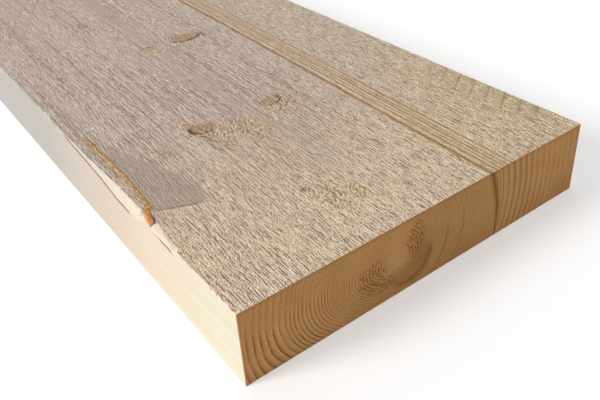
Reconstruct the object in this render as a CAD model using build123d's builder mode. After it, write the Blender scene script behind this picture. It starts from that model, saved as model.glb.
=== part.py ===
from build123d import *
import os

os.makedirs("parts", exist_ok=True)

# One rough-sawn softwood plank, in millimetres. It lies flat on its underside, with its
# length along X, its width along Y and its thickness up from Z = 0.
plank_length = 1800
plank_width = 250
plank_thickness = 48
arris_ease = 0.4

end_x = plank_length / 2
side_y = -plank_width / 2
top_z = plank_thickness

# Everything torn is on one arris, where the top meets the side at -Y. "in" is measured across
# the top from that side, "down" is measured down the side, and "run" along the plank. The
# first tear starts this far back from the sawn end at +X, and each one follows the last.
tear_start = 56.5

# Sliver split away along the grain, ending in the slanted step where it snapped off
snap_run = 4.5
sliver_run = 25
sliver_in = 4.6
sliver_down = 1.5
snap_in = 5.2
snap_down = 2.2

# Bark pocket that broke out behind the sliver, and the flake of bark left standing in it
pocket_run = 14
pocket_in = 4.9
pocket_down = 3.4
flake_inset = 1.3
flake_thickness = 1.5
flake_gap = 1.5
flake_rise = 0.4
flake_tip = 3

# Long facet where the saw pulled a strip off the side, deep by the pocket, fading out behind
facet_overlap = 3
facet_near_run = 6
facet_near_in = 2.3
facet_near_down = 6.8
facet_deep_run = 28
facet_deep_in = 2.3
facet_deep_down = 7.4
facet_knee_run = 17
facet_knee_in = 1.6
facet_knee_down = 4.4
facet_shallow_run = 30
facet_shallow_in = 0.9
facet_shallow_down = 2.4
facet_fade_run = 34

# Open split along the foot of that facet, with a tail that leaves it near the pocket
split_gape = 0.45
split_depth = 1.4
split_lead_run = 28
split_lead_down = 1.6
split_tail_run = 17
split_tail_down = 8.0

# Fine resin-filled check in the top, bowed a little away from the arris
check_near_in = 7.6
check_middle_in = 9.6
check_far_in = 8.8
check_run = 96
check_width = 1.1
check_depth = 0.6

# A short second tear further along, where the saw teeth lifted a few fibres
nick_gap = 24
nick_run = 20
nick_in = 2.4
nick_down = 1.2

# Cuts start this far outside the wood, so that no cutting face lies on a sawn face
clear = 2.0

# Places along the plank, counted back from the sawn end
sliver_back = tear_start + snap_run
pocket_back = sliver_back + sliver_run
facet_back = pocket_back + pocket_run - facet_overlap
near_back = facet_back + facet_overlap + facet_near_run
deep_back = near_back + facet_deep_run
knee_back = deep_back + facet_knee_run
shallow_back = knee_back + facet_shallow_run
fade_back = shallow_back + facet_fade_run
nick_back = fade_back + nick_gap


def corner_loss(back, across, down):
    """The corner missing at one station: a triangle over the arris, drawn in the YZ plane."""
    slope = down / across
    with BuildSketch(Plane.YZ.offset(end_x - back)) as section:
        with BuildLine():
            Polyline(
                (side_y - clear, top_z + clear),
                (side_y - clear, top_z - down - clear * slope),
                (side_y + across + clear / slope, top_z + clear),
                close=True,
            )
        make_face()
    return section.sketch


def run_out(back):
    """Where a tear fades to nothing: a triangle that only just misses the arris."""
    with BuildSketch(Plane.YZ.offset(end_x - back)) as section:
        with BuildLine():
            Polyline(
                (side_y - clear, top_z + clear),
                (side_y - clear, top_z - clear * 0.9),
                (side_y + clear * 0.9, top_z + clear),
                close=True,
            )
        make_face()
    return section.sketch


with BuildPart() as plank:
    # Sawn blank: the section drawn on the far end and drawn out to the stock length
    with BuildSketch(Plane.YZ.offset(-end_x)):
        Rectangle(plank_width, plank_thickness, align=(Align.CENTER, Align.MIN))
    extrude(amount=plank_length)

    # The long arrises are rubbed by handling; the cross-cut ends stay sharp
    chamfer(plank.edges().filter_by(Axis.X), length=arris_ease)

    # Sliver: a clean split face that widens towards the step where it snapped
    sliver = [
        corner_loss(tear_start, snap_in / 4, snap_down),
        corner_loss(sliver_back, snap_in, snap_down),
        corner_loss(pocket_back + clear, sliver_in, sliver_down),
    ]
    loft(sliver, ruled=True, mode=Mode.SUBTRACT)

    # Bark pocket: a short broken hollow with blunt ends
    pocket = [
        corner_loss(pocket_back, sliver_in, pocket_down / 2),
        corner_loss(pocket_back + pocket_run / 2, pocket_in, pocket_down),
        corner_loss(pocket_back + pocket_run, sliver_in, pocket_down),
    ]
    loft(pocket, ruled=True, mode=Mode.SUBTRACT)

    # Long facet: steep and deep next to the pocket, fading into the arris behind
    facet = [
        corner_loss(facet_back, facet_near_in, pocket_down),
        corner_loss(near_back, facet_near_in, facet_near_down),
        corner_loss(deep_back, facet_deep_in, facet_deep_down),
        corner_loss(knee_back, facet_knee_in, facet_knee_down),
        corner_loss(shallow_back, facet_shallow_in, facet_shallow_down),
        run_out(fade_back),
    ]
    loft(facet, ruled=True, mode=Mode.SUBTRACT)

    # Lifted fibres further along the same arris
    nick = [
        run_out(nick_back),
        corner_loss(nick_back + nick_run / 3, nick_in, nick_down),
        run_out(nick_back + nick_run),
    ]
    loft(nick, ruled=True, mode=Mode.SUBTRACT)

    # Flake of bark: a thin fin left standing along the pocket
    flake_near_x = end_x - pocket_back - flake_gap
    flake_far_x = end_x - pocket_back - pocket_run + flake_gap
    with BuildSketch(Plane.XZ.offset(-side_y - flake_inset)):
        with BuildLine():
            Polyline(
                (flake_far_x, top_z - pocket_down),
                (flake_far_x, top_z - flake_rise * 2),
                (flake_far_x + flake_tip, top_z - flake_rise),
                (flake_near_x - flake_tip, top_z - flake_rise * 2),
                (flake_near_x, top_z - pocket_down / 2),
                (flake_near_x, top_z - pocket_down),
                close=True,
            )
        make_face()
    extrude(amount=-flake_thickness)

    # Split along the foot of the facet, drawn on the side and cut square into it
    with BuildSketch(Plane.XZ.offset(-side_y)):
        with BuildLine():
            Spline(
                (end_x - shallow_back - split_lead_run, top_z - split_lead_down),
                (end_x - shallow_back, top_z - facet_shallow_down),
                (end_x - knee_back, top_z - facet_knee_down),
                (end_x - deep_back, top_z - facet_deep_down),
                (end_x - deep_back + split_tail_run, top_z - split_tail_down),
            )
        trace(line_width=split_gape)
    extrude(amount=-split_depth, mode=Mode.SUBTRACT)

    # Resin check in the top, from the pocket's far end
    check_near_x = end_x - pocket_back - pocket_run
    with BuildSketch(Plane.XY.offset(top_z)):
        with BuildLine():
            Spline(
                (check_near_x, side_y + check_near_in),
                (check_near_x - check_run / 2, side_y + check_middle_in),
                (check_near_x - check_run, side_y + check_far_in),
            )
        trace(line_width=check_width)
    extrude(amount=-check_depth, mode=Mode.SUBTRACT)

plank.part.label = "plank"
export_step(plank.part, "parts/plank.step")
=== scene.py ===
import math
import random

import bpy
import numpy as np
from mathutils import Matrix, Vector, noise


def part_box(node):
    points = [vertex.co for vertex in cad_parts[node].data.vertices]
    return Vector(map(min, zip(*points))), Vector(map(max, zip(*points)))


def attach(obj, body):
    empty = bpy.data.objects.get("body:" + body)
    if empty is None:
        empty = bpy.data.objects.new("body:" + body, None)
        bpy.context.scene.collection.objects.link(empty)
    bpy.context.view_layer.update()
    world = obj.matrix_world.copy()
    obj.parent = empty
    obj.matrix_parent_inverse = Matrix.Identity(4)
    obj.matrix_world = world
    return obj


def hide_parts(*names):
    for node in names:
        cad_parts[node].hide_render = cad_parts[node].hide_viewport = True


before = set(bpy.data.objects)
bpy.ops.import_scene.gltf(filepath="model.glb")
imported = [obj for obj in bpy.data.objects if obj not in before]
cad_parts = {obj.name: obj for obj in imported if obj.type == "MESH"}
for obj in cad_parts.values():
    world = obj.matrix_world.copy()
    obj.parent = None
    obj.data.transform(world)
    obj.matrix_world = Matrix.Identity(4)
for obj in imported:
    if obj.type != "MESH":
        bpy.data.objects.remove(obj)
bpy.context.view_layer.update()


# The sawn blank. One length of spruce, cut to section by a band saw and cross-cut square.
# Its surface is a loop of points round the section, repeated at stations along the length.
# Places are in millimetres: "back" from the sawn end at +X, "across" from the side at -Y.
low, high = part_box("plank")
MM = 0.001
LENGTH = (high.x - low.x) / MM
WIDTH = (high.y - low.y) / MM
THICKNESS = (high.z - low.z) / MM

# One corner of the section is torn. At each place back from the end: how far in across the
# top and how far down the side the wood is missing. The sizes are the solid's own.
TEAR = (
    # back, in, down
    (0, 0.4, 0.4),
    (56.2, 0.4, 0.4),
    (56.7, 1.3, 2.2),
    (61.0, 5.2, 2.2),
    (85.8, 4.6, 1.5),
    (86.4, 4.6, 1.8),
    (93.0, 4.9, 3.4),
    (99.6, 4.6, 3.4),
    (100.2, 2.3, 4.6),
    (106.0, 2.3, 6.8),
    (134.0, 2.3, 7.4),
    (151.0, 1.6, 4.4),
    (181.0, 0.9, 2.4),
    (215.0, 0.4, 0.5),
    (239.0, 0.4, 0.4),
    (246.0, 2.4, 1.2),
    (259.0, 0.4, 0.4),
)
RAGGED_IN, RAGGED_DOWN = 0.5, 0.12  # wander of the top edge, and of the foot as a share
BELOW_FOOT = 0.08


def tear_at(back):
    """How far in and down the corner is missing at each place, with its ragged edges."""
    places, across, down = zip(*TEAR)
    ragged = np.array([noise.noise((b / 2.6, 0, 0)) + 0.6 * noise.noise((b / 0.9, 7, 0)) for b in back])
    lower = np.array([noise.noise((b / 7.0, 31, 0)) for b in back])
    size_in = np.interp(back, places, across) + RAGGED_IN * ragged
    size_down = np.interp(back, places, down) * (1 + RAGGED_DOWN * lower) + BELOW_FOOT
    return size_in, size_down


def split_dip(back):
    """How far the split runs below the tear's foot at each place: only near its start."""
    return np.interp(back, (118, 134), (1.2, 0.0))


# The resin check in the top, bowed away from the arris, as the solid has it
CHECK_MIDDLE, CHECK_HALF, CHECK_IN = 148, 48, 9.6
CHECK_BOW_NEAR, CHECK_BOW_FAR = 2.6, 0.8
CHECK_REACH = 1.6  # the bow goes on past the check's ends by this many of its halves


def check_at(back):
    """How far across the top the resin check lies at each place."""
    t = np.clip((back - CHECK_MIDDLE) / CHECK_HALF, -CHECK_REACH, CHECK_REACH)
    return CHECK_IN - np.where(t < 0, CHECK_BOW_NEAR, CHECK_BOW_FAR) * t**2


# Knots cut by the top, each with its place, its half lengths along and across the grain, how
# far its dark edge turns round it (degrees, 0 towards the sawn end) and its strength
KNOTS = (
    # back, across, along, wide, turn, tone
    (156, 74.5, 7.6, 10.2, 300, 1.0),
    (157, 127, 6.4, 8.0, 40, 0.95),
    (299, 138.5, 9.0, 14.0, 10, 1.0),
    (297, 104, 5.0, 5.0, 140, 0.6),
    (237, 113, 3.2, 2.6, 180, 0.5),
    (56, 82, 2.4, 2.2, 90, 0.9),
    (384, 82, 4.5, 4.0, 150, 0.7),
    (386, 112, 4.0, 3.5, 100, 0.6),
    (50, 91, 1.6, 1.4, 100, 0.5),
    (590, 118, 8.0, 12.0, 230, 1.0),
    (604, 72, 5.0, 7.0, 120, 0.7),
    (812, 96, 6.5, 9.0, 60, 0.9),
    (1016, 140, 8.0, 13.0, 250, 1.0),
    (1030, 88, 4.0, 5.0, 120, 0.7),
    (1262, 108, 7.5, 11.0, 140, 0.9),
    (1420, 66, 3.5, 4.0, 90, 0.7),
    (1508, 146, 6.0, 9.0, 250, 0.8),
    (1690, 98, 8.0, 12.0, 120, 1.0),
)

# Underside knots, of the same whorls
UNDER_KNOTS = (
    # back, across, along, wide, turn, tone
    (168, 118, 7.0, 10.0, 90, 0.9),
    (300, 70, 6.0, 8.0, 200, 0.8),
    (602, 100, 8.0, 12.0, 120, 1.0),
    (826, 128, 6.0, 9.0, 60, 0.9),
    (1028, 76, 6.0, 9.0, 250, 0.8),
    (1270, 112, 8.0, 12.0, 140, 1.0),
    (1516, 84, 7.0, 10.0, 90, 0.9),
)

# Places where the saw tore the grain to a pale fuzz, mostly on the near side of a knot
FUZZ = (
    # back, across, along, wide
    (143, 90, 9, 20),
    (134, 98, 8, 12),
    (123, 100, 8, 11),
    (146, 129, 7, 13),
    (168, 65, 5, 4),
    (288, 127, 5, 10),
    (307, 151, 4, 5),
    (288, 108, 7, 5),
    (43, 90, 11, 9),
    (37, 103, 9, 5),
    (242, 111, 3, 3),
    (388, 81, 6, 4),
    (391, 111, 6, 4),
    (578, 112, 9, 18),
    (800, 92, 9, 14),
    (1003, 132, 9, 20),
    (1250, 104, 8, 15),
    (1497, 140, 8, 13),
    (1678, 102, 9, 16),
)

WOOL_RELIEF = (
    # height, length along the grain, width across it, seed
    (0.17, 11, 1.7, 3),
    (0.13, 6, 0.9, 11),
    (0.10, 30, 4.5, 17),
)
SAW_WAVE = 0.05
KNOT_DISH, KNOT_CALM = 0.25, 0.6  # depth of a knot, and the share of wool it lacks
FUZZ_RELIEF, FUZZ_SUNK = 0.35, 0.1
SKIN_SUNK = 0.15  # sets the whole relief just below the solid's face


def relief(back, across, knots, fuzz):
    """Height of the sawn face in millimetres: woolly streaks, saw waves, knots and torn fuzz."""
    wool = 0
    for height, along, wide, seed in WOOL_RELIEF:
        wool += height * noise.noise((back / along, across / wide, seed))
    wave = SAW_WAVE * noise.noise((back / 4.5 + across / 30, across / 60, 23))
    dish = 0
    for at_back, at_across, along, wide, *_ in knots:
        off = math.hypot((back - at_back) / along, (across - at_across) / wide)
        if off < 2.2:
            dish = max(dish, math.exp(-((off / 0.9) ** 4)))
    torn = 0
    for at_back, at_across, along, wide in fuzz:
        off = math.hypot((back - at_back) / along, (across - at_across) / wide)
        if off < 2.0:
            torn = max(torn, math.exp(-(off**2)))
    rough = noise.noise((back / 1.8, across / 1.3, 41)) + 0.6 * noise.noise((back / 0.9, across / 0.8, 43))
    tufts = torn * (FUZZ_RELIEF * rough - FUZZ_SUNK)
    return wool * (1 - KNOT_CALM * dish) + wave - KNOT_DISH * dish + tufts - SKIN_SUNK


# Stations along the length: close together where the photographed end is seen from near
NEAR_ZONE = 480
SPACING = ((120, 1.6), (215, 1.9), (330, 2.6), (NEAR_ZONE, 4.2), (LENGTH, 16.5))  # up to, step
stations = [0.0]
for stop, step in SPACING:
    count = max(1, round((stop - stations[-1]) / step))
    stations += list(np.linspace(stations[-1], stop, count + 1)[1:])
stations = np.array(sorted(set(stations) | {float(b) for b, _, _ in TEAR if b}))
rows = len(stations)
near_rows = int(np.searchsorted(stations, NEAR_ZONE + 0.1))


def span(start, stop, count, ends=(True, True)):
    """Even steps from start to stop at every station, as a block of columns."""
    steps = np.linspace(0, 1, count)
    if not ends[0]:
        steps = steps[1:]
    if not ends[1]:
        steps = steps[:-1]
    start = np.broadcast_to(start, rows)[:, None]
    stop = np.broadcast_to(stop, rows)[:, None]
    return start + (stop - start) * steps


# Columns round the section, in order: up the torn side, over the tear, across the top, down
# the sound side and back along the underside. The split runs just under the tear's foot.
RISE = 35  # columns between the two arrises of each side
BETWEEN = 245  # columns between the two arrises of the top, and of the underside
SIDE_COLUMNS = 26  # below the split
SPLIT_DROPS = (0.62, 0.42, 0.2, 0.0)  # the split's columns, down from its upper edge
SPLIT_ROOM = 1.5  # from the side's last column up to the split's edge
FACET_COLUMNS = RISE + 1 - SIDE_COLUMNS - len(SPLIT_DROPS)
MARGIN_COLUMNS = 7
CREST = 1.0  # half the strip of columns that follows the check
CREST_PLACES = (-1.0, -0.55, -0.2, 0.2, 0.55, 1.0)
BEYOND_COLUMNS = BETWEEN + 2 - MARGIN_COLUMNS - len(CREST_PLACES)

tear_in, tear_down = tear_at(stations)
check_in = check_at(stations)
foot = THICKNESS - tear_down
split_edge = foot - split_dip(stations)
side_up = span(0, split_edge - SPLIT_ROOM, SIDE_COLUMNS)
split_up = split_edge[:, None] - np.array(SPLIT_DROPS)
facet_up = span(foot, THICKNESS, FACET_COLUMNS + 2, (False, False))
facet_across = span(0, tear_in, FACET_COLUMNS + 2, (False, False))
margin_across = span(tear_in, check_in - CREST, MARGIN_COLUMNS + 1, (True, False))
check_across = check_in[:, None] + np.array(CREST_PLACES) * CREST
beyond_across = span(check_in + CREST, WIDTH, BEYOND_COLUMNS + 1, (False, True))
sound_up = span(THICKNESS, 0, RISE + 2, (False, True))
under_across = span(WIDTH, 0, BETWEEN + 2, (False, False))

blocks = (
    # face, across, up
    ("side", np.full_like(side_up, 0), side_up),
    ("side", np.full_like(split_up, 0), split_up),
    ("tear", facet_across, facet_up),
    ("top", margin_across, np.full_like(margin_across, THICKNESS)),
    ("top", check_across, np.full_like(check_across, THICKNESS)),
    ("top", beyond_across, np.full_like(beyond_across, THICKNESS)),
    ("sound", np.full_like(sound_up, WIDTH), sound_up),
    ("under", under_across, np.full_like(under_across, 0)),
)
across = np.hstack([block for _, block, _ in blocks])
up = np.hstack([block for _, _, block in blocks])
face_of = np.concatenate([[name] * block.shape[1] for name, block, _ in blocks])
columns = len(face_of)

top_first = int(np.argmax(face_of == "top"))
top_last = top_first + BETWEEN + 1
under_first = top_last + RISE + 1
left_loop = list(range(0, top_first + 1))
top_loop = list(range(top_first, top_last + 1))
sound_loop = list(range(top_last, under_first + 1))
under_loop = list(range(under_first, columns)) + [0]

# Each zone keeps the columns it needs: all of them on the sawn end, every one on the top and
# the torn side near it, and few beyond and below.
sawn_end_keep = list(range(columns))
near_keep = left_loop[:-1] + top_loop[:-1] + sound_loop[:-1:3] + under_loop[:-1:6]
far_keep = left_loop[:-1:6] + top_loop[:-1:6] + sound_loop[:-1:6] + under_loop[:-1:6]
keeps = [sawn_end_keep] + [near_keep] * (near_rows - 1) + [far_keep] * (rows - near_rows)

# Depths in millimetres: the split's and the pocket's hollow, and the bead of resin in the check
SPLIT_FROM, SPLIT_TO, SPLIT_DEPTH = 118, 212, 1.1
POCKET_FROM, POCKET_TO, POCKET_HOLLOW = 86.2, 99.8, 0.9
HOLLOW_IN, HOLLOW_DOWN = 0.6, 0.8  # the way into the slope
RESIN_FROM, RESIN_TO, RESIN_BEAD = 96, 197, 0.3
BEAD_SHAPE = (0, 0.7, 1.0, 0.9, 0.5, 0)  # its height at each of the check's columns
SIDE_WAVE, SIDE_SUNK, TORN_GRAIN = 0.07, 0.05, 0.12
split_deep = set(np.flatnonzero(face_of == "side")[-3:-1])
check_first = top_first + MARGIN_COLUMNS
bead_at = dict(zip(range(check_first, check_first + len(BEAD_SHAPE)), BEAD_SHAPE))
points = []
index_of = {}


def fade(value, start, stop, soft):
    """1 between start and stop, falling to 0 over a soft margin outside them."""
    return min(1.0, max(0.0, min(value - start, stop - value) / soft + 1.0))


def surface_point(row, column):
    """One point of the skin, with the relief of the face it lies on, in millimetres."""
    back, y, z = stations[row], across[row, column], up[row, column]
    face = face_of[column]
    if face == "top":
        lift = relief(back, y, KNOTS, FUZZ)
        bead = bead_at.get(column, 0) * fade(back, RESIN_FROM, RESIN_TO, 4)
        z += lift * (1 - bead) + RESIN_BEAD * bead * (1 + 0.5 * noise.noise((back / 3, 0, 5)))
    elif face == "under":
        z -= min(0.0, relief(back, y, UNDER_KNOTS, ()))
    elif face == "tear":
        hollow = fade(back, POCKET_FROM, POCKET_TO, 0.5) * POCKET_HOLLOW
        y += hollow * HOLLOW_IN + TORN_GRAIN * noise.noise((back / 12, z / 0.7, y / 0.7))
        z -= hollow * HOLLOW_DOWN
    elif face == "side":
        y += SIDE_WAVE * noise.noise((back / 40, z / 6, 9)) + SIDE_SUNK
        if column in split_deep:
            patchy = 0.75 + 0.6 * noise.noise((back / 14, 2, 0))
            y += SPLIT_DEPTH * patchy * fade(back, SPLIT_FROM, SPLIT_TO, 6)
    elif face == "sound":
        y -= SIDE_WAVE * noise.noise((back / 40, z / 6, 19)) + SIDE_SUNK
    return (high.x / MM - back, y - WIDTH / 2, z)


for row, keep in enumerate(keeps):
    for column in keep:
        index_of[row, column] = len(points)
        points.append(surface_point(row, column))

# Each face carries the name of the side of the board it lies on, and each of its corners its
# place on that side, which lays out the map that the finish is baked to.
faces, sides, corners = [], [], []
TEAR_ROOM = 7  # the map's share for the torn slope, beside the torn side


def face_between(a, b):
    """The side of the board that the strip between two neighbouring columns belongs to."""
    if face_of[a] == "tear":
        return "tear"
    if "under" in (face_of[a], face_of[b]):
        return "under"
    return str(face_of[b])


def place_on(side, row, column):
    """Where a point lies along and across its side of the board, both from 0 to 1."""
    y, z = across[row, column], up[row, column]
    along = stations[row] / LENGTH
    if side in ("side", "tear"):
        return along, (y + z) / (THICKNESS + TEAR_ROOM)
    return along, z / THICKNESS if side == "sound" else y / WIDTH


for row in range(rows - 1):
    fine, coarse = keeps[row], keeps[row + 1]
    fine_place = {column: n for n, column in enumerate(fine)}
    for a, b in zip(coarse, coarse[1:] + coarse[:1]):
        first, last = fine_place[a], fine_place[b] or len(fine)
        run = [fine[n % len(fine)] for n in range(first, last + 1)]
        ring = [(row, column) for column in run] + [(row + 1, b), (row + 1, a)]
        side = face_between(a, b)
        faces.append([index_of[key] for key in ring])
        sides.append(side)
        corners.append([place_on(side, *key) for key in ring])

# The two cross-cut ends are grids drawn between the four edges of the section. The saw left
# them flat, except where soft wood tore out beside the pith.
TORN_SPOTS = ((81, 21, 8.0, 9.5), (112, 31, 5.5, 10.0))  # across, up, half width, half height
TORN_DEPTH = 0.9
END_SUNK, END_WAVE = 0.05, 0.05


def sawn_end(row, keep, outward, name):
    """Closes one end with a grid that shares its edge points with the skin."""

    def pick(loop):
        return [column for column in loop if column in set(keep)]

    def at(column):
        return np.array(points[index_of[row, column]])

    left, top = pick(left_loop), pick(top_loop)
    sound, under = pick(sound_loop)[::-1], pick(under_loop)[::-1]
    if under[0] != 0:
        under.insert(0, 0)
    wide, tall = len(top) - 1, len(left) - 1
    grid = {}
    for j in range(wide + 1):
        for k in range(tall + 1):
            edge = under[j] if k == 0 else top[j] if k == tall else left[k] if j == 0 else None
            if edge is None and j == wide:
                edge = sound[k]
            if edge is not None:
                grid[j, k] = index_of[row, edge]
                continue
            u, v = j / wide, k / tall
            spot = (1 - v) * at(under[j]) + v * at(top[j]) + (1 - u) * at(left[k]) + u * at(sound[k])
            spot -= (1 - u) * (1 - v) * at(left[0]) + u * (1 - v) * at(sound[0])
            spot -= (1 - u) * v * at(left[-1]) + u * v * at(sound[-1])
            y, z = spot[1] + WIDTH / 2, spot[2]
            depth = END_SUNK + END_WAVE * noise.noise((y / 1.2, z / 3.0, row))
            for torn_across, torn_up, half_wide, half_tall in TORN_SPOTS:
                off = math.hypot((y - torn_across) / half_wide, (z - torn_up) / half_tall)
                pits = max(0.0, noise.noise((y / 1.1, z / 1.1, 3)) + 0.15)
                depth += math.exp(-(off**3)) * pits * TORN_DEPTH
            spot[0] -= outward * depth
            grid[j, k] = len(points)
            points.append(tuple(spot))
    for j in range(wide):
        for k in range(tall):
            ring = [(j, k), (j + 1, k), (j + 1, k + 1), (j, k + 1)][::outward]
            faces.append([grid[key] for key in ring])
            sides.append(name)
            places = [points[grid[key]] for key in ring]
            corners.append([(y / WIDTH + 0.5, z / THICKNESS) for _, y, z in places])


sawn_end(0, sawn_end_keep, 1, "end")
sawn_end(rows - 1, far_keep, -1, "far end")

mesh = bpy.data.meshes.new("sawn_plank")
mesh.from_pydata([(x * MM, y * MM, z * MM) for x, y, z in points], [], faces)
plank = bpy.data.objects.new("sawn_plank", mesh)
bpy.context.collection.objects.link(plank)

# The baked map gives the photographed end of the board more room than the rest of it
MAP_ROOM = {
    # side: left, bottom, width, height on the map
    "top": (0.004, 0.570, 0.992, 0.426),
    "under": (0.004, 0.372, 0.992, 0.190),
    "side": (0.004, 0.252, 0.992, 0.112),
    "tear": (0.004, 0.252, 0.992, 0.112),
    "sound": (0.004, 0.172, 0.992, 0.072),
    "end": (0.004, 0.004, 0.600, 0.160),
    "far end": (0.612, 0.004, 0.384, 0.160),
}
NEAR_SHARE = 0.45  # of the map's length, for the near zone
flat_map = mesh.uv_layers.new(name="OFBake")
spread = []
for side, ring in zip(sides, corners):
    left, bottom, wide, tall = MAP_ROOM[side]
    for along, part in ring:
        if "end" not in side:
            along = np.interp(along, (0, NEAR_ZONE / LENGTH, 1), (0, NEAR_SHARE, 1))
        spread += [left + wide * along, bottom + tall * min(1.0, max(0.0, part))]
flat_map.uv.foreach_set("vector", np.array(spread, np.float32))

FINISHES = ("top", "under", "side", "tear", "sound", "end", "far end")
SHARP = 50  # degrees between faces, from which an edge stays crisp
mesh.polygons.foreach_set("material_index", np.array([FINISHES.index(s) for s in sides], np.int32))
mesh.polygons.foreach_set("use_smooth", np.ones(len(faces), bool))
mesh.set_sharp_from_angle(angle=math.radians(SHARP))
mesh.validate()
mesh.update()


# The finishes. Each is written as sums and masks of the place on the board, in millimetres,
# with colours as they look in plain light. A mask is 1 where its mark is and 0 elsewhere.
class Value:
    """A number that varies over the board. Sums and products of it add maths nodes."""

    def __init__(self, finish, socket):
        self.finish = finish
        self.socket = socket

    def __add__(self, other):
        return self.finish.math("ADD", self, other)

    def __radd__(self, other):
        return self.finish.math("ADD", other, self)

    def __sub__(self, other):
        return self.finish.math("SUBTRACT", self, other)

    def __rsub__(self, other):
        return self.finish.math("SUBTRACT", other, self)

    def __mul__(self, other):
        return self.finish.math("MULTIPLY", self, other)

    def __rmul__(self, other):
        return self.finish.math("MULTIPLY", other, self)

    def __truediv__(self, other):
        return self.finish.math("DIVIDE", self, other)

    def step(self, start, stop):
        """0 before start and 1 past stop, smooth between; start may be the larger."""
        return self.finish.map_range(self, start, stop, "SMOOTHSTEP")

    def ramp(self, start, stop):
        """0 before start and 1 past stop, straight between."""
        return self.finish.map_range(self, start, stop, "LINEAR")

    def bell(self, centre, half):
        """1 at the centre, falling smoothly to about a third at half its width."""
        off = (self - centre) / half
        return self.finish.math("EXPONENT", off * off * -1.0)


def as_light(colour):
    """A written colour, red green blue out of 255, as the light that a shader works in."""
    if isinstance(colour, bpy.types.NodeSocket):
        return colour
    parts = [c / 255 for c in colour]
    return [c / 12.92 if c <= 0.04045 else ((c + 0.055) / 1.055) ** 2.4 for c in parts] + [1.0]


class Finish:
    """A wood finish on one kind of face."""

    def __init__(self, name):
        self.material = bpy.data.materials.new(name)
        self.material.use_nodes = True
        self.tree = self.material.node_tree
        self.tree.nodes.clear()
        place = self.add("ShaderNodeSeparateXYZ", {0: self.add("ShaderNodeTexCoord").outputs["Object"]})
        x, y, z = (Value(self, socket) for socket in place.outputs)
        self.back = self.math("MULTIPLY_ADD", x, -1 / MM, high.x / MM)
        self.across = self.math("MULTIPLY_ADD", y, 1 / MM, WIDTH / 2)
        self.up = z * (1 / MM)

    def add(self, kind, inputs=None, **settings):
        node = self.tree.nodes.new(kind)
        for name, value in settings.items():
            setattr(node, name, value)
        for name, value in (inputs or {}).items():
            value = value.socket if isinstance(value, Value) else value
            if isinstance(value, bpy.types.NodeSocket):
                self.tree.links.new(value, node.inputs[name])
            else:
                node.inputs[name].default_value = value
        return node

    def math(self, operation, *values):
        node = self.add("ShaderNodeMath", dict(enumerate(values)), operation=operation)
        return Value(self, node.outputs[0])

    def map_range(self, value, start, stop, interpolation):
        inputs = {"Value": value, "From Min": start, "From Max": stop}
        node = self.add("ShaderNodeMapRange", inputs, interpolation_type=interpolation)
        return Value(self, node.outputs[0])

    def noise(self, x, y, seed, detail=0.0):
        """Smooth random value, about -1 to 1, that varies once in each unit of x and y."""
        place = self.add("ShaderNodeCombineXYZ", {0: x, 1: y, 2: float(seed)})
        inputs = {"Vector": place.outputs[0], "Scale": 1.0, "Detail": float(detail)}
        node = self.add("ShaderNodeTexNoise", inputs)
        return self.math("MULTIPLY_ADD", Value(self, node.outputs[0]), 2.0, -1.0)

    def cells(self, x, y, seed):
        """Distance to the nearest of many scattered points, and a chance value of its own."""
        place = self.add("ShaderNodeCombineXYZ", {0: x, 1: y, 2: float(seed)})
        node = self.add("ShaderNodeTexVoronoi", {"Vector": place.outputs[0], "Scale": 1.0})
        chance = self.add("ShaderNodeSeparateColor", {0: node.outputs["Color"]})
        return Value(self, node.outputs["Distance"]), Value(self, chance.outputs[0])

    def curve(self, value, points):
        """Straight lines through points, from the first point's x to the last one's."""
        start, stop = points[0][0], points[-1][0]
        node = self.add("ShaderNodeValToRGB", {0: value.ramp(start, stop)})
        top = max(y for _, y in points)
        elements = node.color_ramp.elements
        for _ in points[2:]:
            elements.new(0.5)
        for element, (x, y) in zip(elements, points):
            element.position = (x - start) / (stop - start)
            element.color = (y / top, y / top, y / top, 1)
        return Value(self, node.outputs[0]) * top

    def distance(self, x, y):
        """How far a place is from where both x and y are 0."""
        return self.math("SQRT", x * x + y * y)

    def spot(self, x, y):
        """1 where both x and y are 0, falling smoothly to about a third at a distance of 1."""
        return self.math("EXPONENT", (x * x + y * y) * -1.0)

    def most(self, *values):
        """The largest of several values."""
        largest = values[0]
        for value in values[1:]:
            largest = self.math("MAXIMUM", largest, value)
        return largest

    def mix(self, mask, colour, other):
        """The first colour where the mask is 0, the other where it is 1."""
        inputs = {0: mask, 6: as_light(colour), 7: as_light(other)}
        node = self.add("ShaderNodeMix", inputs, data_type="RGBA")
        return node.outputs[2]

    def coat(self, colour, *coats):
        """Lays coats over a colour, one after another, each a mask and the coat's colour."""
        for mask, tint in coats:
            colour = self.mix(mask, colour, tint)
        return colour

    def done(self, colour, roughness, height):
        """Ends the finish. The height is in millimetres."""
        bump = self.add("ShaderNodeBump", {"Height": height * MM, "Distance": 1.0})
        inputs = {"Base Color": colour, "Roughness": roughness, "Normal": bump.outputs[0]}
        surface = self.add("ShaderNodeBsdfPrincipled", inputs)
        surface.inputs["Specular IOR Level"].default_value = 0.25
        output = self.add("ShaderNodeOutputMaterial", {0: surface.outputs[0]})
        output.target = "ALL"
        return self.material


# How far the grain of the whole board drifts across it, and how it parts round the knots
DRIFT, DRIFT_LENGTH = 16, 600


def grain_of(finish, knots):
    """Place across the grain, and how near each point is to the knots."""
    drift = finish.math("TANH", finish.back / DRIFT_LENGTH) * DRIFT
    grain = finish.across - drift
    marks = []
    for at_back, at_across, along, wide, turn, tone in knots:
        dx = (finish.back - at_back) / along
        dy = (finish.across - at_across) / wide
        square = dx * dx + dy * dy
        grain = grain - dy * finish.math("EXPONENT", square * -0.45) * (0.5 * wide * tone)
        marks.append((dx, dy, finish.math("SQRT", square)))
    return grain, marks


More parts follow.
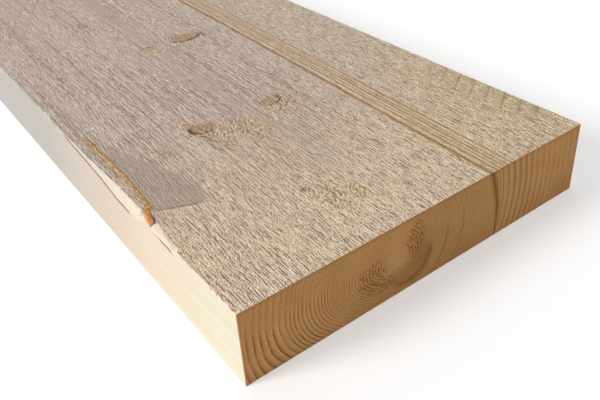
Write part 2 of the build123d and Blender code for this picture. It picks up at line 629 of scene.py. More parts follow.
def wool_of(finish, grain, torn):
    """Sawn fibres: ridges and gaps along the grain, grit across it. Torn wood is all tufts."""
    sway = finish.noise(finish.back / 38, finish.across / 16, 2) * 1.4
    lines = grain + sway
    ridges = finish.noise(finish.back / 15, lines / 0.9, 5)
    streaks = finish.noise(finish.back / 5.5, lines / 0.7, 7)
    tips = finish.noise(finish.back / 2.2, (lines - finish.back * 0.2) / 0.8, 9)
    grit = finish.noise(finish.back / 0.9, finish.across / 0.6, 13)
    tufts = finish.noise(finish.back / 2.8, (finish.across - finish.back * 0.45) / 1.5, 15, 1)
    sawn = ridges * 0.9 + streaks * 0.95 + tips * 0.65
    return sawn * (1 - torn * 0.75) + tufts * torn * 3.4 + grit * 0.9


KNOT_DARK, KNOT_LIGHT, KNOT_RIM = (160, 116, 80), (212, 174, 130), (104, 52, 24)


def knot_colour(finish, colour, knots, marks):
    """Paints each knot: brown wood, ragged at its outline, with a dark edge on one side."""
    rays = finish.noise(finish.back / 2.6, finish.across / 1.1, 301, 1)
    ragged = finish.noise(finish.back / 2.2, finish.across / 2.2, 303, 1) * 0.35 + rays * 0.12
    heart = finish.mix(rays.step(-0.45, 0.5), KNOT_DARK, KNOT_LIGHT)
    for (at_back, at_across, along, wide, turn, tone), (dx, dy, off) in zip(knots, marks):
        off = off + ragged
        body = off.step(1.25, 0.35) * (0.8 * tone)
        lean_x = math.cos(math.radians(turn)) * -1.0
        lean_y = math.sin(math.radians(turn))
        toward = (dx * lean_x + dy * lean_y) / (off + 0.05)
        rim = off.bell(0.94, 0.13) * toward.step(-0.3, 0.7) * tone
        colour = finish.coat(colour, (body, heart), (rim * 0.95, KNOT_RIM))
    return colour


# The sawn top: beige, torn to wool by the saw, with a band of brown latewood along it, the
# knots of three branches, and a dull smooth stain beside the resin check
FAR_BEIGE, NEAR_BEIGE, EDGE_BEIGE = (218, 201, 191), (241, 216, 186), (236, 210, 166)
PITH_STRIP, TAN_PATCH, FUZZ_STRAW = (200, 182, 170), (203, 174, 144), (228, 201, 152)
# The gap brown and the ridge white are partly the fibres' own tones, partly painted shade and painted
# highlight
YEAR_BROWN, GAP_SHADE_BROWN, RIDGE_HIGHLIGHT_WHITE = (160, 128, 108), (158, 120, 94), (255, 242, 216)
BAND_CREAM, BAND_BROWN = (244, 224, 184), (178, 125, 52)
SMEAR_PALE, SMEAR_OCHRE = (206, 190, 160), (176, 138, 72)
SPECK_BROWN = (140, 84, 44)
STAIN_GREY, STAIN_LINE = (166, 144, 134), (120, 92, 70)
STAIN_TAN, STAIN_VIOLET = (196, 168, 128), (126, 122, 138)
RESIN_DARK, RESIN_LIGHT = (172, 112, 40), (232, 180, 92)

BAND = 169.5  # across the grain, where the band starts
BAND_LINES = (
    # place across the band, width, strength
    (0.0, 2.2, 1.0),
    (4.9, 1.4, 0.85),
    (7.8, 1.0, 0.75),
    (10.8, 1.3, 0.9),
    (13.4, 1.0, 0.8),
    (16.8, 1.3, 0.85),
)
SMEARS_FROM, SMEAR_PITCH = 226, 13  # across, and from one smear to the next

# How far across the stain reaches at each place back, and the line at its near end
STAIN_EDGE = ((83, 30), (88, 36), (95, 38.5), (110, 37.5), (130, 31), (157, 21), (182, 15), (200, 9))
STAIN_NEAR, STAIN_SLANT, STAIN_CORNER = 94, 0.45, 9

# Small brown specks, and how big they are
SPECKS = (
    # back, across
    (75, 202),
    (102, 194),
    (112.5, 185),
    (188, 169),
    (136, 112),
    (177, 53),
    (189, 55),
    (89.5, 82),
    (49, 121),
)
SPECK_LONG, SPECK_WIDE = 1.3, 0.8

# Cracks, resin streaks and lifted fibres, and a violet painted shadow in the pocket beside the bark flake
DARK = (96, 52, 26)
ORANGE = (200, 142, 84)
GOLD = (210, 172, 100)
PALE = (250, 240, 222)
POCKET_SHADOW_VIOLET = (148, 132, 152)
STROKES = (
    # back and across at each end, width, colour, strength
    ((148, 66.5), (141, 70.2), 0.9, DARK, 0.85),
    ((141, 70.2), (133, 70.8), 0.8, DARK, 0.6),
    ((136, 71.5), (110, 72.5), 1.4, ORANGE, 0.3),
    ((152, 78.5), (150.5, 76), 1.3, DARK, 0.8),
    ((168, 67.5), (160, 67.8), 2.2, GOLD, 0.75),
    ((158.5, 65.2), (151.5, 65.0), 1.2, DARK, 0.85),
    ((166, 68), (158, 70), 1.2, ORANGE, 0.6),
    ((135, 109.5), (127, 105.2), 2.0, GOLD, 0.6),
    ((127, 105), (114, 100.5), 1.8, ORANGE, 0.4),
    ((139, 119), (131, 114.5), 1.3, PALE, 0.6),
    ((140, 64.5), (121, 65.5), 0.8, PALE, 0.7),
    ((168, 138), (160, 131), 2.0, GOLD, 0.35),
    ((33.5, 58), (29.5, 65), 0.5, DARK, 0.5),
    ((34, 58), (33, 59), 1.2, DARK, 0.7),
    ((58.5, 80.5), (56.5, 80.8), 2.8, DARK, 0.55),
    ((48.5, 82), (46.5, 82.6), 1.8, GOLD, 0.7),
    ((56, 90), (45, 91), 0.9, DARK, 0.4),
    ((40, 90.7), (29.5, 91.2), 0.8, DARK, 0.35),
    ((43, 103), (36, 103.2), 1.3, GOLD, 0.6),
    ((36, 103.2), (27, 98.5), 1.5, ORANGE, 0.5),
    ((373.5, 86.5), (371, 89.5), 2.6, ORANGE, 0.9),
    ((393, 80), (389, 84.5), 1.8, DARK, 0.5),
    ((396, 107), (392, 112), 1.8, DARK, 0.45),
    ((244, 110), (241, 113.5), 1.5, GOLD, 0.7),
    ((245, 109.5), (243, 112.5), 0.9, DARK, 0.5),
    ((200, 99.5), (195.5, 101.5), 1.0, DARK, 0.8),
    ((192, 111.2), (188.5, 112.4), 1.0, DARK, 0.8),
    ((213, 72), (198, 79), 1.7, GOLD, 0.5),
    ((362.5, 94.5), (361, 96), 1.5, DARK, 0.8),
    ((296, 152), (289, 153.5), 1.6, DARK, 0.6),
    # Painted shadow: the pocket's inner face beside the bark flake, in shade
    ((92, 5.4), (83.5, 3.4), 1.7, POCKET_SHADOW_VIOLET, 0.9),
    ((97.8, 6.0), (97.2, 8.6), 1.1, DARK, 0.85),
    ((97, 5.6), (89, 5.0), 0.9, GOLD, 0.8),
)


def stroke_mask(finish, start, stop, wide, ragged):
    """A soft ragged line between two places."""
    run_back, run_across = stop[0] - start[0], stop[1] - start[1]
    length = math.hypot(run_back, run_across)
    back, across = finish.back - start[0], finish.across - start[1]
    along = back * (run_back / length) + across * (run_across / length)
    aside = across * (run_back / length) - back * (run_across / length) + ragged * (wide * 0.5)
    return aside.bell(0, wide * 0.6) * along.step(-0.8, 0.4) * along.step(length + 0.8, length - 0.4)


def sawn_top():
    finish = Finish("sawn_top")
    back, across = finish.back, finish.across
    grain, marks = grain_of(finish, KNOTS)
    patches = finish.noise(back / 60, grain / 22, 21, 2)
    ragged = finish.noise(back / 6, across / 3, 31, 1)
    near = back.step(210, 40)

    # Where the face is smoother: the strip beside the pith, and the stain
    strip = (grain + back.ramp(110, 150) * 7).bell(110, 10) * back.step(20, 120)
    check_bow = [(b, CHECK_IN - float(check_at(b))) for b in (90, 100, 110, 122, 135, 148, 165, 180, 200)]
    off_check = across - (CHECK_IN - finish.curve(back, check_bow))
    off_stain = across - finish.curve(back, STAIN_EDGE)
    past_line = back - (STAIN_NEAR - STAIN_SLANT * (across - STAIN_CORNER))
    hairy = finish.noise(back / 12, grain / 0.9, 33, 1) * back.ramp(105, 165)
    stain = (off_stain + ragged * 2.2 + hairy * 6).step(2.2, -2.2)
    stain = stain * (past_line + ragged * 0.6).step(-0.5, 0.5)
    stain = stain * (off_check + 0.3).step(-0.3, 0.5) * back.step(205, 150)
    calm = finish.most(strip * 0.4, stain * 0.2)

    # The wool, with pale tufts torn up on the near side of the knots
    tufts = [finish.spot((back - b) / along, (across - a) / wide) for b, a, along, wide in FUZZ]
    fuzz = finish.most(*tufts)
    strength = finish.noise(back / 50, grain / 14, 39) * 0.3 + (grain - 130).ramp(0, 50) * 0.2
    wool = wool_of(finish, grain, fuzz) * (strength + near * 0.17 + 1.0) * (1 - calm)
    years = finish.noise((grain + back / 90) / 2.7, back / 900, 55, 1).bell(0.0, 0.13)
    years = years * finish.noise(back / 140, grain / 16, 57).step(-0.5, 0.1) * back.step(40, 150)
    years = years * (1 - stain) * grain.step(160, 150)
    colour = finish.coat(
        finish.mix(near, FAR_BEIGE, NEAR_BEIGE),
        ((grain - 185).ramp(0, 30) * (near * 0.5 + 0.3), EDGE_BEIGE),
        (strip * 0.8, PITH_STRIP),
        (patches.step(-0.1, 0.9) * 0.2, TAN_PATCH),
        (fuzz * 0.6, FUZZ_STRAW),
        (years * 0.62, YEAR_BROWN),
        # Browner in the wool's gaps and whiter on its ridges: partly the fibres' own tone, partly painted
        # shade in the gaps and a painted highlight on the ridges
        (wool.step(0.0, -0.8) * 0.85, GAP_SHADE_BROWN),
        (wool.step(0.0, 0.8) * 0.75, RIDGE_HIGHLIGHT_WHITE),
    )

    # The latewood band, its lines broken where the wool covers them
    offset = grain - BAND + 0.16 + finish.noise(back / 45, 0.0, 51) * 0.5
    lines = finish.most(*[offset.bell(place, wide / 1.7) * dark for place, wide, dark in BAND_LINES])
    between = offset.step(1.0, 3.0) * offset.step(19.5, 17.5)
    band = lines * (0.9 + wool.step(0.6, -0.6) * 0.2)
    colour = finish.coat(colour, (between * 0.35, BAND_CREAM), (band * 0.95, BAND_BROWN))

    # Yellow smears of the saw at the far edge, each a pale stroke with an ochre line in it
    slant = (back - (across - WIDTH) * 0.62 + ragged * 0.5) / SMEAR_PITCH
    share = finish.math("FRACT", slant)
    reach = finish.noise(finish.math("FLOOR", slant) * 3.1, 0.0, 53) * 8 + SMEARS_FROM
    smear = (across - reach).step(-4, 12) * back.step(128, 100) * back.step(18, 30)
    colour = finish.coat(
        colour,
        (smear * share.bell(0.7, 0.22) * 0.5, SMEAR_PALE),
        (smear * share.bell(0.4, 0.08) * 0.6, SMEAR_OCHRE),
    )

    colour = knot_colour(finish, colour, KNOTS, marks)
    dots = [finish.spot((back - b) / SPECK_LONG, (across - a) / SPECK_WIDE) for b, a in SPECKS]
    loose, chance = finish.cells(back / 26, across / 17, 3)
    specks = finish.most(*dots, loose.step(0.055, 0.02) * chance.step(0.6, 0.62))
    colour = finish.mix(specks * 0.7, colour, SPECK_BROWN)
    for start, stop, wide, tint, strength in STROKES:
        stroke = stroke_mask(finish, start, stop, wide, ragged)
        colour = finish.mix(stroke * strength, colour, tint)

    # The stain, with a dark line along its near end, and the resin standing in the check
    stain_line = past_line.bell(0.0, 0.7) * across.step(8, 10) * across.step(34, 26)
    flecks = finish.noise(back / 4, grain / 0.8, 63, 1)
    resin_wide = 1.0 + back.bell(101, 7) * 0.9 + ragged * 0.6
    resin = (finish.math("ABSOLUTE", off_check) / resin_wide).step(1.15, 0.75)
    resin = resin * back.step(95, 98) * back.step(200, 186)
    amber = finish.mix(finish.noise(back / 3, across / 2, 61, 1).step(-0.5, 0.5), RESIN_DARK, RESIN_LIGHT)
    colour = finish.coat(
        colour,
        (stain * 0.6, STAIN_GREY),
        (stain_line * 0.7, STAIN_LINE),
        (stain * flecks.step(0.1, 0.8) * 0.5, STAIN_TAN),
        (stain * flecks.step(-0.1, -0.8) * 0.5, STAIN_VIOLET),
        (resin * 0.92, amber),
    )
    return finish.done(colour, 0.78 - stain * 0.18 - resin * 0.35, wool * 0.4 - years * 0.25)


# The sawn underside: the same wood face down, with its own knots and no band
UNDER_LIGHT, UNDER_TAN, UNDER_YEAR = (208, 188, 164), (196, 170, 140), (168, 126, 86)
# The underside's gap and ridge colours are partly the fibres' own tones, partly painted shade and painted
# highlight
UNDER_GAP_SHADE, UNDER_RIDGE_HIGHLIGHT = (150, 118, 90), (244, 230, 208)


def sawn_under():
    finish = Finish("sawn_underside")
    grain, marks = grain_of(finish, UNDER_KNOTS)
    wool = wool_of(finish, grain, 0.0 * grain)
    patches = finish.noise(finish.back / 90, grain / 30, 71, 2)
    years = finish.noise(grain / 6.5, finish.back / 900, 73, 1).bell(0.1, 0.12)
    colour = finish.coat(
        finish.mix(patches.step(-0.5, 0.8), UNDER_LIGHT, UNDER_TAN),
        (years * 0.35, UNDER_YEAR),
        # Browner in the wool's gaps and whiter on its ridges: partly the fibres' own tone, partly painted
        # shade in the gaps and a painted highlight on the ridges
        (wool.step(0.1, -0.85) * 0.7, UNDER_GAP_SHADE),
        (wool.step(-0.05, 0.9) * 0.6, UNDER_RIDGE_HIGHLIGHT),
    )
    colour = knot_colour(finish, colour, UNDER_KNOTS, marks)
    return finish.done(colour, 0.8, wool * 0.2)


def foot_of(finish):
    """Height of the torn corner's foot along the board, where the split runs."""
    places = np.arange(56, 222, 5.5)
    feet = THICKNESS - tear_at(places)[1] - split_dip(places)
    return finish.curve(finish.back, list(zip(places, feet)))


# The narrow sides: sawn finer, so smooth and pale, cream near the cross-cut end and greyer
# beyond, with the long arches of the growth rings showing faintly
SIDE_GREY, SIDE_PINK, SIDE_CREAM = (187, 184, 179), (230, 212, 190), (236, 229, 204)
SIDE_YEAR, SIDE_BLUSH, SIDE_FIBRE = (222, 188, 150), (232, 205, 176), (214, 184, 150)
SOUND_TAN, SPLIT_BROWN = (232, 208, 176), (140, 88, 46)


def pale_side():
    finish = Finish("pale_side")
    back, up = finish.back, finish.up
    arches = up + finish.noise(back / 160, up / 60, 3) * 7 + (back - 60) * 0.06
    years = finish.noise(arches / 3.6, back / 700, 5, 1)
    fibres = finish.noise(back / 26, up / 0.7, 11, 1)
    mottle = finish.noise(back / 34, up / 14, 17, 2)
    sound = finish.across.step(WIDTH / 2 - 1, WIDTH / 2 + 1)

    # The brown split along the foot of the tear, in patches where resin stands in it
    split = (up - foot_of(finish) + 0.7).bell(0.0, 1.2) * back.step(60, 64) * back.step(216, 206)
    split = split * finish.most(back.step(112, 118), back.step(80, 76))
    split = split * finish.noise(back / 9, 0.0, 23, 1).step(-0.6, -0.1) * (1 - sound)
    colour = finish.coat(
        finish.mix(back.ramp(260, 95), SIDE_GREY, SIDE_PINK),
        (back.ramp(120, 15), SIDE_CREAM),
        (years.bell(0.15, 0.14) * 0.22, SIDE_YEAR),
        (mottle.step(0.0, 0.8) * 0.22, SIDE_BLUSH),
        (fibres.step(0.1, 0.9) * 0.16, SIDE_FIBRE),
        (sound * 0.5, SOUND_TAN),
        (split * 0.9, SPLIT_BROWN),
    )
    return finish.done(colour, 0.62, fibres * 0.03 + years * 0.02 + mottle * 0.05)


# Fresh torn wood at the arris: pale, with the ends of the fibres standing in fine lines
TORN_GREY, TORN_CREAM, TORN_FIBRE = (214, 203, 190), (240, 226, 205), (212, 182, 146)
# The violet-grey of the flake's painted shadow on the pocket
TORN_FLECK, FLAKE_SHADOW_GREY = (176, 132, 92), (150, 132, 152)


def torn_wood():
    finish = Finish("torn_wood")
    back = finish.back
    girth = finish.across * 0.8 - finish.up
    fibres = finish.noise(back / 18, girth / 0.5, 81, 1)
    flecks = finish.noise(back / 4, girth / 0.8, 83)
    # Painted shadow: violet-grey on the pocket's inner face, where the bark flake shades it
    flake_shadow = finish.across.step(2.4, 3.0) * back.step(83.5, 85) * back.step(96, 90)
    colour = finish.coat(
        finish.mix(back.step(230, 60), TORN_GREY, TORN_CREAM),
        (fibres.step(0.0, 0.8) * 0.4, TORN_FIBRE),
        (flecks.step(0.35, 0.8) * 0.35, TORN_FLECK),
        (flake_shadow * 0.85, FLAKE_SHADOW_GREY),
    )
    return finish.done(colour, 0.7, fibres * 0.1 + flecks * 0.06)


# The cross-cut ends: growth rings round the pith, wide towards the bark, darker than the
# sawn faces because the open pores drink the light
PITH_ACROSS, PITH_UP = 97.5, 26
LEFT_YEARS = ((0, 0), (25, 16), (50, 30), (72, 39), (110, 49))  # radius, age
RIGHT_YEARS = ((0, 0), (25, 16), (84.4, 38.92), (115.3, 44.92), (170, 55.5))
TORN_MARKS = TORN_SPOTS + ((90, 13, 6, 4),)
DARK_RING = ((0, 177.2), (14, 177.7), (24, 177), (33, 175), (41, 172.6), (48, 170.3))  # up, across

END_TAN, END_BROWN, END_DULL = (206, 155, 96), (196, 143, 84), (184, 136, 80)
EARLY_WOOD, LATE_WOOD, DARK_YEAR = (228, 184, 124), (130, 76, 34), (124, 78, 36)
PORE_BROWN, PORE_LIGHT, SAW_LIGHT = (148, 102, 54), (224, 180, 122), (228, 184, 128)
PITH_LIGHT, PITH_SHADOW = (212, 164, 104), (134, 84, 38)
GLOW_EARLY, GLOW_LATE, BESIDE_PITH = (236, 194, 134), (126, 78, 36), (134, 88, 42)
TORN_ORANGE, TORN_PIT, TORN_RIDGE = (184, 120, 56), (120, 66, 24), (222, 174, 112)
# The top edge's colour is painted shade along the end's upper arris
TOP_EDGE_PAINTED_SHADE, RING_RED = (164, 106, 54), (134, 72, 30)
WORN_RED, WORN_CREAM = (204, 118, 58), (244, 206, 150)


def end_grain():
    finish = Finish("end_grain")
    across, up = finish.across, finish.up
    dx = across - PITH_ACROSS
    dy = up - PITH_UP

    # The rings: squashed below the pith and beyond it, and wider on the right than on the left
    right = dx.step(-8, 8)
    left_squash = 1 + dy.step(2, -6) * dx.step(-94, -72) * 0.45
    squash = left_squash + right * (1.1 - left_squash)
    wander = finish.noise(across / 14, up / 14, 91, 1) * 0.5
    wander = wander + finish.noise(across / 3, up / 3, 92, 1) * 0.25
    radius = finish.distance(dx, dy * squash) + wander
    left_age = finish.curve(radius, LEFT_YEARS)
    age = left_age + (finish.curve(radius, RIGHT_YEARS) - left_age) * right
    share = finish.math("FRACT", age)
    late = share.step(0.55, 0.9) * share.step(1.0, 0.95)
    early = share.bell(0.2, 0.18)

    # How strongly they show, from place to place and from year to year
    year = finish.noise(finish.math("FLOOR", age) * 1.7, 0.5, 93)
    shown = finish.noise(across / 16, up / 12, 94, 1).step(-0.6, 0.2)
    lower = dy.step(12, -4) * dx.step(6, -6) * 0.65 + 0.35
    clear = across.step(172, 180) * across.step(232, 205) * 0.9
    faint = right * across.step(176, 166) * 0.3
    strong = shown * lower * (1 - right) + right * (1 - faint) * (shown * 0.3 + clear * 0.4)
    strong = strong * (0.85 + year * 0.4) * (radius.step(24, 48) * 0.5 + 0.5)
    dark_year = finish.most(
        radius.bell(38.6, 0.6) * across.step(122, 132) * up.step(36, 22),
        radius.bell(51.5, 0.5) * across.step(135, 145) * up.step(40, 26) * 0.7,
    )
    pores = finish.noise(across / 1.2, up / 1.2, 95, 2)
    saw = finish.noise((up + across * 0.35) / 0.9, (across - up * 0.35) / 4, 97, 1)
    patches = finish.noise(across / 26, up / 16, 99, 1)
    colour = finish.coat(
        finish.mix(patches.step(-0.6, 0.6), END_TAN, END_BROWN),
        (across.bell(140, 30) * 0.6, END_DULL),
        (dark_year * 0.7, DARK_YEAR),
        (late * strong * 0.95, LATE_WOOD),
        (early * strong * 0.55, EARLY_WOOD),
        (pores.step(0.0, 0.7) * 0.6, PORE_BROWN),
        (pores.step(0.0, -0.8) * 0.4, PORE_LIGHT),
        (saw.step(0.1, 0.8) * 0.35, SAW_LIGHT),
        # Painted shade: darker brown along the top edge of the cross-cut end
        (up.step(44.5, 47.5) * 0.4, TOP_EDGE_PAINTED_SHADE),
    )

    # The pith: a paler oval with a dark crescent under it, and soft wood torn out beside it
    oval = finish.distance((across - 99) / 11, (up - 25) / 9)
    drawn = finish.noise(across / 5, up / 5, 103, 2) * 2.6 + pores
    arc = finish.distance(across - 107.5, up - 20.5) + drawn
    shadow = arc.bell(15.2, 2.4) * up.step(27, 18) * across.step(90, 102)
    inside = arc.step(18, 13) * up.step(22, 16) * across.step(90, 96)
    glow = finish.spot((across - 92) / 8, (up - 19) / 7)
    beside = finish.spot((across - 116) / 7, (up - 22) / 12)
    tears = []
    for torn_across, torn_up, half_wide, half_tall in TORN_MARKS:
        ex = (across - torn_across) / half_wide
        ey = (up - torn_up) / half_tall
        tears.append((ex * ex * 0.8 + ey * ey * 0.8 + drawn * 0.35).step(1.7, 0.5))
    torn = finish.most(*tears)
    coarse = finish.noise(across / 2.4, up / 2.4, 105, 1)
    swirl = finish.math("FRACT", radius / 2.2 + coarse * 0.7).bell(0.5, 0.22)
    pits = finish.noise(across / 1.1, up / 1.1, 101, 1) * 0.5 + swirl * 0.9 + coarse * 0.9
    colour = finish.coat(
        colour,
        (oval.step(1.1, 0.6) * 0.4, PITH_LIGHT),
        (finish.most(shadow * 0.7, inside * 0.3), PITH_SHADOW),
        (glow * early, GLOW_EARLY),
        (glow * late * 0.8, GLOW_LATE),
        (beside * 0.4, BESIDE_PITH),
        (torn * 0.35, TORN_ORANGE),
        (torn * pits.step(0.2, 1.2) * 0.85, TORN_PIT),
        (torn * pits.step(0.2, -0.3) * 0.4, TORN_RIDGE),
    )

    # One dark reddish ring runs right through the thickness, and the arrises are a little worn
    off_ring = (across - finish.curve(up, DARK_RING)) / up.ramp(-14, 38)
    colour = finish.coat(
        colour,
        (off_ring.bell(0, 2.1) * up.step(-10, 4) * 0.85, RING_RED),
        (across.step(2.6, 0.9) * 0.6, WORN_RED),
        (across.step(0.9, 0.4) * 0.8, WORN_CREAM),
    )
    return finish.done(colour, 0.85, late * 0.05 + pores * 0.07 + saw * 0.06 - torn * pits * 0.3)


# The plank takes its finishes in the order of FINISHES; both sides share one, and both ends
side_finish = pale_side()
end_finish = end_grain()
for finish in (sawn_top(), sawn_under(), side_finish, torn_wood(), side_finish, end_finish, end_finish):
    mesh.materials.append(finish)
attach(plank, "root")
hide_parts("plank")


# A flake of reddish bark wood that the tear split off and left lying over the pocket. It is a
# thin strip that starts at the end of the resin check and leans outwards down the slope.
FLAKE_FROM, FLAKE_TO = 99.5, 85.5
FLAKE_START_IN, FLAKE_END_IN = 3.9, 1.4
FLAKE_HALF = 1.7
FLAKE_BED, FLAKE_BED_FROM = 4.8, 99.0  # where the slope under it starts, in and back
FLAKE_RISE, FLAKE_ROOT = 0.75, 0.5  # its crown over the slope, and how deep it sits in it
FLAKE_PROUD = 0.5  # the most that it stands above the top
FLAKE_ROWS, FLAKE_PARTS = 16, 7


def flake_ring(share):
    """The points round the flake at one place along it, in millimetres."""
    back = FLAKE_FROM + (FLAKE_TO - FLAKE_FROM) * share
    middle = FLAKE_START_IN + (FLAKE_END_IN - FLAKE_START_IN) * share
    slope = float(tear_at([min(back, FLAKE_BED_FROM)])[1][0]) / FLAKE_BED
    half = FLAKE_HALF * (0.55 + 0.45 * math.sin(math.pi * min(0.75, 0.2 + share)))
    above, below = [], []
    for n in range(FLAKE_PARTS + 1):
        off = 2 * n / FLAKE_PARTS - 1
        place = middle + off * half + 0.15 * noise.noise((back / 2, off * 2, 5))
        face = THICKNESS - max(0.0, FLAKE_BED - place) * slope
        rise = FLAKE_RISE - 0.35 * off * off + 0.25 * noise.noise((back / 3, off * 3, 9))
        ragged = 0.8 * noise.noise((off * 3, share, 2)) if share in (0.0, 1.0) else 0.0
        above.append((back + ragged, place, min(face + rise, THICKNESS + FLAKE_PROUD)))
        below.append((back + ragged, place, face - FLAKE_ROOT))
    return above + below[::-1]


flake_rings = [flake_ring(n / FLAKE_ROWS) for n in range(FLAKE_ROWS + 1)]
around = len(flake_rings[0])
skin = [point for ring in flake_rings for point in ring]
flake_points = [(high.x - b * MM, y * MM - WIDTH * MM / 2, z * MM) for b, y, z in skin]
flake_faces = [tuple(range(around)), tuple(range(FLAKE_ROWS * around, (FLAKE_ROWS + 1) * around))[::-1]]
for row in range(FLAKE_ROWS):
    for n in range(around):
        here, beside = row * around + n, row * around + (n + 1) % around
        flake_faces.append((beside, here, here + around, beside + around))
flake_mesh = bpy.data.meshes.new("bark_flake")
flake_mesh.from_pydata(flake_points, [], flake_faces)
flake_mesh.polygons.foreach_set("use_smooth", np.ones(len(flake_faces), bool))
flake_mesh.set_sharp_from_angle(angle=math.radians(40))
flake = bpy.data.objects.new("bark_flake", flake_mesh)
bpy.context.collection.objects.link(flake)

BARK_BROWN, BARK_TAN, BARK_DARK, BARK_EDGE = (170, 98, 44), (222, 154, 88), (142, 80, 38), (236, 186, 116)
FLAKE_LEAN = 0.186  # across to each millimetre along, of the flake's pale outer edge


def bark_wood():
    finish = Finish("bark_wood")
    fibres = finish.noise(finish.back / 6, finish.up / 0.5, 201, 1)
    blotch = finish.noise(finish.back / 3, finish.up / 2, 203, 1)
    off_middle = finish.across - (finish.back - FLAKE_TO) * FLAKE_LEAN - FLAKE_END_IN
    colour = finish.coat(
        finish.mix(fibres.step(-0.5, 0.6), BARK_BROWN, BARK_TAN),
        (blotch.step(0.0, 0.6) * 0.5, BARK_DARK),
        (off_middle.step(-0.5, -1.1) * 0.6, BARK_EDGE),
    )
    return finish.done(colour, 0.6, fibres * 0.12)


flake_mesh.materials.append(bark_wood())
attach(flake, "root")


# Loose fibres: slivers that the saw lifted and left hanging, thickest round the knots, where the
# grain dives, and along the torn arris. Each is a thin tapered strip, rooted in the face.
SLIVER_PARTS = 5
SLIVER_ROOT = 0.25
END_MARGIN = 12  # none hang nearer to the sawn end than this
FUZZ_CROWDING = 3.0  # square millimetres of torn fuzz to each of its fibres
ARRIS_FIBRES = 420
SPLINTERS = ((62, 5.4), (58.5, 4.2), (100.5, 3.6), (102, 2.8), (84, 4.9))  # back, across


def sliver(root, heading, length, wide, lift, curl):
    """Points and faces of one three-sided fibre, rooted at back and across, in millimetres."""
    made, joined = [], []
    for n in range(SLIVER_PARTS):
        share = n / (SLIVER_PARTS - 1)
        swing = heading + curl * share
        b = root[0] + math.cos(swing) * length * share
        y = root[1] + math.sin(swing) * length * share
        z = root[2] - SLIVER_ROOT + lift * math.sin(share * 2.4)
        half = wide / 2 * (1 - 0.85 * share)
        for off, rise in ((-half, 0.0), (half, 0.0), (0.0, half * 1.2)):
            made.append((b - math.sin(swing) * off, y + math.cos(swing) * off, z + rise))
    for n in range(SLIVER_PARTS - 1):
        for k in range(3):
            here, beside = n * 3 + k, n * 3 + (k + 1) % 3
            joined.append((beside, here, here + 3, beside + 3))
    last = (SLIVER_PARTS - 1) * 3
    joined += [(0, 1, 2), (last + 2, last + 1, last)]
    return made, joined


draw = random.Random(7)
fibre_points, fibre_faces = [], []


def hang(root, heading, length, wide, lift, curl):
    """Hangs one fibre on the board."""
    made, joined = sliver(root, heading, length, wide, lift, curl)
    start = len(fibre_points)
    fibre_points.extend((high.x - b * MM, y * MM - WIDTH * MM / 2, z * MM) for b, y, z in made)
    fibre_faces.extend(tuple(start + n for n in face) for face in joined)


for at_back, at_across, along, wide in FUZZ:
    for _ in range(int(along * wide / FUZZ_CROWDING)):
        root_back = max(END_MARGIN, draw.gauss(at_back, along * 0.6))
        hang(
            root=(root_back, draw.gauss(at_across, wide * 0.55), THICKNESS - 0.15),
            heading=draw.gauss(math.pi, 0.5),
            length=draw.uniform(1.5, 4.5),
            wide=draw.uniform(0.25, 0.5),
            lift=draw.uniform(0.2, 0.7),
            curl=draw.gauss(0, 0.5),
        )
for _ in range(ARRIS_FIBRES):
    reach = NEAR_ZONE if draw.random() < 0.7 else LENGTH - 6
    root_back = draw.uniform(END_MARGIN, reach)
    edge = float(tear_at([root_back])[0][0])
    hang(
        root=(root_back, edge + draw.uniform(0.1, 1.2), THICKNESS - 0.2),
        heading=draw.gauss(math.pi, 0.16),
        length=draw.uniform(3, 9),
        wide=draw.uniform(0.3, 0.6),
        lift=draw.uniform(0.1, 0.45),
        curl=draw.gauss(0, 0.15),
    )
# The white fibre lifted beside the largest near knot, and the splinters at the ends of the tear
hang(root=(140, 65, THICKNESS), heading=math.pi, length=18, wide=0.8, lift=0.5, curl=0.05)
for root_back, root_across in SPLINTERS:
    root = (root_back, root_across, THICKNESS - 0.4)
    hang(root, heading=math.pi + 0.1, length=4.5, wide=0.7, lift=0.3, curl=0.1)

fibre_mesh = bpy.data.meshes.new("torn_fibres")
fibre_mesh.from_pydata(fibre_points, [], fibre_faces)
fibre_mesh.polygons.foreach_set("use_smooth", np.ones(len(fibre_faces), bool))
fibres = bpy.data.objects.new("torn_fibres", fibre_mesh)
bpy.context.collection.objects.link(fibres)

FIBRE_GREY, FIBRE_BEIGE, FIBRE_CREAM = (206, 190, 170), (226, 204, 172), (236, 222, 196)


def fibre_wood():
    finish = Finish("fibre_wood")
    tint = finish.noise(finish.back / 5, finish.across / 3, 211, 1)
    colour = finish.mix(finish.back.step(210, 60), FIBRE_GREY, FIBRE_BEIGE)
    colour = finish.mix(tint.step(-0.2, 0.6) * 0.5, colour, FIBRE_CREAM)
    return finish.done(colour, 0.75, tint * 0.05)


fibre_mesh.materials.append(fibre_wood())
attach(fibres, "root")


# The floor and the light. A white floor that keeps the board's shadow, a broad soft lamp from
# the torn side, low enough to rake the sawn top, and even white light all round.
FLOOR_CORNERS = ((-9, -9, 0), (9, -9, 0), (9, 9, 0), (-9, 9, 0))  # metres
FLOOR_WHITE = (0.8, 0.8, 0.8, 1)
FLOOR_LIFT = 0.36
WORLD_LIGHT, WORLD_SEEN = 0.5, 1.0
floor_mesh = bpy.data.meshes.new("floor")
floor_mesh.from_pydata(FLOOR_CORNERS, [], [(0, 1, 2, 3)])
floor = bpy.data.objects.new("floor", floor_mesh)
bpy.context.collection.objects.link(floor)


def sight_of(nodes, links):
    """1 for the rays that see the background: the camera's own, and those of shine and glass."""
    path = nodes.new("ShaderNodeLightPath")
    sight = path.outputs["Is Camera Ray"]
    for kind in ("Is Glossy Ray", "Is Transmission Ray"):
        either = nodes.new("ShaderNodeMath")
        either.operation = "MAXIMUM"
        links.new(sight, either.inputs[0])
        links.new(path.outputs[kind], either.inputs[1])
        sight = either.outputs[0]
    return sight


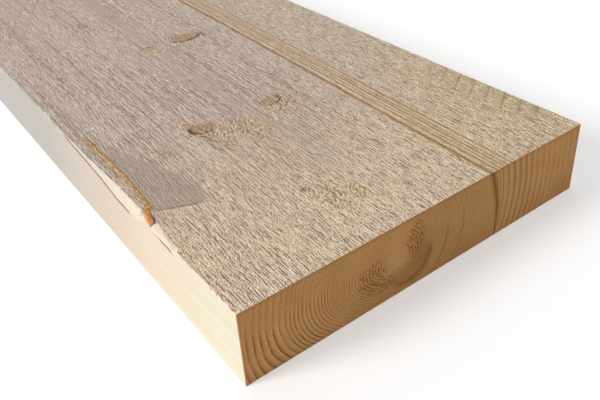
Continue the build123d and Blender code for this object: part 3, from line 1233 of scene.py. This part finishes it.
def white_floor():
    """Plain white, a little brighter where it is seen than on the board, so that it reads as white."""
    material = bpy.data.materials.new("white_floor")
    material.use_nodes = True
    nodes, links = material.node_tree.nodes, material.node_tree.links
    nodes.clear()
    matt = nodes.new("ShaderNodeBsdfDiffuse")
    matt.inputs["Color"].default_value = FLOOR_WHITE
    glow = nodes.new("ShaderNodeEmission")
    lift = nodes.new("ShaderNodeMath")
    lift.operation = "MULTIPLY"
    lift.inputs[1].default_value = FLOOR_LIFT
    both = nodes.new("ShaderNodeAddShader")
    output = nodes.new("ShaderNodeOutputMaterial")
    links.new(sight_of(nodes, links), lift.inputs[0])
    links.new(lift.outputs[0], glow.inputs["Strength"])
    links.new(matt.outputs[0], both.inputs[0])
    links.new(glow.outputs[0], both.inputs[1])
    links.new(both.outputs[0], output.inputs[0])
    return material


floor_mesh.materials.append(white_floor())

world = bpy.data.worlds.new("studio")
bpy.context.scene.world = world
world.use_nodes = True
nodes, links = world.node_tree.nodes, world.node_tree.links
strength = nodes.new("ShaderNodeMapRange")
strength.inputs["To Min"].default_value = WORLD_LIGHT
strength.inputs["To Max"].default_value = WORLD_SEEN
links.new(sight_of(nodes, links), strength.inputs["Value"])
links.new(strength.outputs[0], nodes["Background"].inputs["Strength"])
nodes["Background"].inputs["Color"].default_value = (1, 1, 1, 1)

TO_KEY = Vector((-0.25, -0.85, 0.5))
key = bpy.data.lights.new("key", "SUN")
key.energy = 2.0
key.angle = math.radians(20)
key_lamp = bpy.data.objects.new("key", key)
key_lamp.rotation_euler = TO_KEY.to_track_quat("Z", "Y").to_euler()
bpy.context.collection.objects.link(key_lamp)

# The camera stands above the sawn end, near the torn side, and looks down along the board
lens = bpy.data.cameras.new("camera")
lens.lens = 42.417
lens.shift_x, lens.shift_y = 0.0258, -0.0812
lens.clip_start = 0.01
camera = bpy.data.objects.new("camera", lens)
camera.location = (1.10664, -0.22724, 0.27531)
camera.rotation_euler = (1.00879, 0.06918, 0.94731)
bpy.context.collection.objects.link(camera)
bpy.context.scene.camera = camera
bpy.context.scene.view_settings.view_transform = "Standard"
